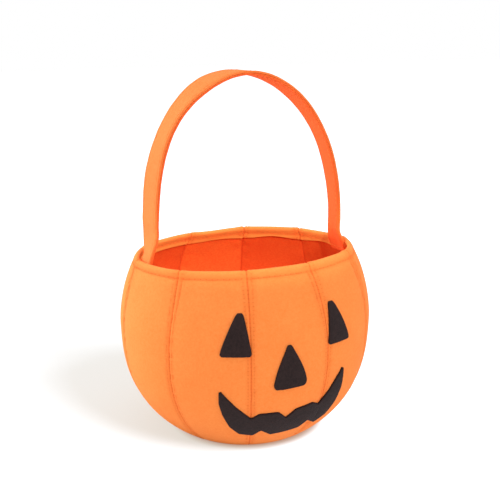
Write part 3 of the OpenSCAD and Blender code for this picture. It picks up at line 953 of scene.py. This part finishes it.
# A cut piece between two edges given from low to high, its columns crowded to both edges. Its upper
# face falls off near the outline as a quarter circle, so the cut edge is soft
def cutPiece(name, first, second, node, columns=40):
    flatPoints = first[:, None] + (second - first)[:, None] * crowded(columns)[:, None]
    ends = (evenLine(np.stack(pair), 0.2) for pair in ((first[-1], second[-1]), (second[0], first[0])))
    outline = np.concatenate([first, next(ends), second[::-1], next(ends)])
    away = np.sqrt(((flatPoints[:, :, None] - outline) ** 2).sum(-1)).min(-1)
    full = 1 - fallOf(away / face["edge"])
    x, z = np.moveaxis(flatPoints, -1, 0)
    swell = 0.06 * np.sin(x / 3.1) * np.sin(z / 2.7 + 1)
    top = face["under"] + face["thickness"] * (0.42 + 0.58 * full) + swell * full
    front, back = (wallPoint(np.degrees(x / pail["bellyRadius"]), z / pail["height"], out)
                   for out in (top, face["under"]))
    dress(ringSolid(name, settle(wrap(front, back)), flip=True), blackFelt, node)


# The two sides of an outline as matching edges with rounded corners, their rows crowded to both ends
def edgesOf(first, second, rows=60):
    outline = evenLine(np.concatenate([first, second[::-1], first[:1]]), 0.1)[:-1]
    smooth = softLine(outline, 0.1, face["corner"], True)
    low, high = np.argmin(smooth[:, 1]), np.argmax(smooth[:, 1])
    ringed = np.roll(smooth, -low, 0)
    high = (high - low) % len(smooth)
    z = smooth[:, 1].min() + (0.004 + 0.992 * crowded(rows)) * np.ptp(smooth[:, 1])
    sides = []
    for chain in (ringed[:high + 1], np.concatenate([ringed[high:], ringed[:1]])[::-1]):
        sides.append(pointsOf(np.interp(z, np.maximum.accumulate(chain[:, 1]), chain[:, 0]), z))
    return sorted(sides, key=lambda side: side[:, 0].mean())


def makeEye(name, side, node):
    own = face["leftEye" if side < 0 else "rightEye"]
    z = own["low"] + own["height"] * eyeShares[:, 0]
    edges = (pointsOf(side * (own["gap"] + own["width"] * share), z) for share in eyeShares.T[1:])
    cutPiece(name, *edgesOf(*edges), node)


def makeNose():
    up, wide = noseShares.T
    z, half = face["noseLow"] + face["noseHeight"] * up, face["noseWidth"] * wide
    middle = -face["noseLeft"] - face["noseLean"] * up
    rise = face["noseTilt"] * half * (1 - up)
    edges = (pointsOf(middle + side * half, z + side * rise) for side in (-1, 1))
    cutPiece("noseFelt", *edgesOf(*edges), "nose")


def makeGrin():
    size, count = np.array([face["grinWidth"], face["grinHeight"]]), 900
    stations = np.linspace(0, len(grinShares) - 1, count)
    edges = []
    for k in (0, 1):
        line = pointsAt(stations, np.arange(len(grinShares)), grinShares[:, k]) * size
        line = line + np.array([0, face["grinLow"]])
        step = np.linalg.norm(np.diff(line, axis=0), axis=1).mean()
        edges.append(softLine(line, step, face["corner"], False))
    crowdedShare = 0.25 * crowded(260) + 0.75 * np.linspace(0, 1, 260)
    keep = np.unique(np.round(crowdedShare * (count - 1)).astype(int))
    cutPiece("mouthFelt", edges[0][keep], edges[1][keep], "mouth", 30)


makeEye("eyeLeftFelt", -1, "eye_left")
makeEye("eyeRightFelt", 1, "eye_right")
makeNose()
makeGrin()
print("face laid on")

# Studio: white floor and world for the camera, soft light all round and a little more from the left
studio = dict(
    # each lamp: image-right, away from the camera, up, size in metres, watts
    softLamps=(("leftLamp", -1.3, 0.1, 0.12, 1.0, 7.0), ("leftBackLamp", -1.2, 0.5, 0.4, 1.0, 12.0),
               ("topLamp", 0.0, 0.1, 1.5, 1.2, 4.4)),
    shadow=("shadowLamp", 0.84, -0.784, 0.964, 0.95, 140.0),
    mouthPlace=(0.3, -0.9, 0.6), mouthPower=44.0, mouthAim=0.1515, mouthAngle=3.9, mouthWide=2.5,
    worldStrength=1.0, floorTone=0.2, floorSeen=(0.165, 0.185, 0.215), floorLift=(0.65, 0.61, 0.535),
    liftFrom=0.34, liftFull=0.65,
    # painted contact shadow on the floor: a brown ring round a point near the base, clear beyond the second
    # radius
    contactMiddle=(0.003, 0.0022, 0), contactFrom=0.053, contactTo=0.067,
    contactPaint=(0.1, 0.1, 0.08), contactLift=(0.78, 0.5, 0.4),
    cameraPlace=(-0.2649, -0.71165, 0.3441), cameraYaw=20.683, cameraPitch=-14.62, lens=69.949,
)


# The emptied node tree of a new material or world
def emptyTree(thing):
    thing.use_nodes = True
    thing.node_tree.nodes.clear()
    return thing.node_tree


# Floor: grey for the light that it sends back, and for the camera a darker tone that keeps the shadow,
# lifted to white by a glow that grows to full strength away from the pail. Round a point near the pail's
# base both turn brown, fading out between two radii: a painted contact shadow
def makeFloor():
    size = 4.0
    mesh = bpy.data.meshes.new("floor")
    corners = [(-size, -size, 0), (size, -size, 0), (size, size, 0), (-size, size, 0)]
    mesh.from_pydata(corners, [], [(0, 1, 2, 3)])
    floor = addObject("floor", mesh)
    floor.location.z = -0.0002
    material = bpy.data.materials.new("floorWhite")
    tree = emptyTree(material)
    rays = nodeOf(tree, "ShaderNodeLightPath").outputs
    seen = 0.0
    for ray in ("Is Camera Ray", "Is Glossy Ray", "Is Transmission Ray"):
        seen = mathOf("MAXIMUM", seen, rays[ray])
    place = nodeOf(tree, "ShaderNodeTexCoord").outputs["Object"]
    away, fromContact = (nextNode("ShaderNodeVectorMath", {0: place, 1: point}, "Value", operation="DISTANCE")
                         for point in ((0, 0, 0), studio["contactMiddle"]))
    # the painted contact shadow
    clear = rampOf(fromContact, studio["contactFrom"], studio["contactTo"])
    far = rampOf(away, studio["liftFrom"], studio["liftFull"])
    contactPaint, contactLift = (mixOf(clear, studio[key], white) for key in ("contactPaint", "contactLift"))
    seenTone = mixOf(1.0, contactPaint, studio["floorSeen"], "MULTIPLY")
    paint = nextNode("ShaderNodeBsdfDiffuse", {"Color": mixOf(seen, [studio["floorTone"]] * 3, seenTone)})
    glowTone = mixOf(1.0, mixOf(far, studio["floorLift"], white), contactLift, "MULTIPLY")
    glow = nextNode("ShaderNodeEmission", {"Color": glowTone, "Strength": seen})
    total = nextNode("ShaderNodeAddShader", {0: paint, 1: glow})
    nodeOf(tree, "ShaderNodeOutputMaterial", {"Surface": total})
    mesh.materials.append(material)
    return floor


# A lamp at a place given in metres as image-right, away from the camera and up, aimed at a height of
# the pail
def placeLamp(lamp, right, away, up, power, aim=0.1):
    yaw = math.radians(studio["cameraYaw"])
    cos, sin = math.cos(yaw), math.sin(yaw)
    place = Vector((right * cos + away * sin, -right * sin + away * cos, up))
    lamp.energy = power
    lampObject = addObject(lamp.name, lamp)
    lampObject.location = place
    lampObject.rotation_euler = (place - Vector((0, 0, aim))).to_track_quat("Z", "Y").to_euler()
    return lampObject


def softLamp(name, right, away, up, size, power):
    lamp = bpy.data.lights.new(name, "AREA")
    lamp.shape, lamp.size = "DISK", size
    return placeLamp(lamp, right, away, up, power)


for values in studio["softLamps"]:
    softLamp(*values)

# A lamp that lights the floor alone, so that the pail's shadow falls to the left as in the photograph
floorOnly = bpy.data.collections.new("floorOnly")
floorOnly.objects.link(makeFloor())
softLamp(*studio["shadow"]).light_linking.receiver_collection = floorOnly

# A narrow lamp over the front rim that reaches the far side of the inside, wider than it is high
spot = bpy.data.lights.new("mouthLamp", "SPOT")
spot.spot_size, spot.spot_blend, spot.shadow_soft_size = math.radians(studio["mouthAngle"]), 0.2, 0.02
mouthLamp = placeLamp(spot, *studio["mouthPlace"], studio["mouthPower"], studio["mouthAim"])
mouthLamp.scale = (studio["mouthWide"], 1, 1)

scene.world = bpy.data.worlds.new("studioWorld")
worldTree = emptyTree(scene.world)
sky = nodeOf(worldTree, "ShaderNodeBackground", {"Color": white, "Strength": studio["worldStrength"]})
nodeOf(worldTree, "ShaderNodeOutputWorld", {"Surface": sky.outputs[0]})

lens = bpy.data.cameras.new("camera")
lens.lens, lens.sensor_width = studio["lens"], 36
camera = addObject("camera", lens)
camera.location = studio["cameraPlace"]
camera.rotation_euler = (math.radians(90 + studio["cameraPitch"]), 0, -math.radians(studio["cameraYaw"]))
scene.camera = camera
scene.view_settings.view_transform = "Standard"
print("studio lit")
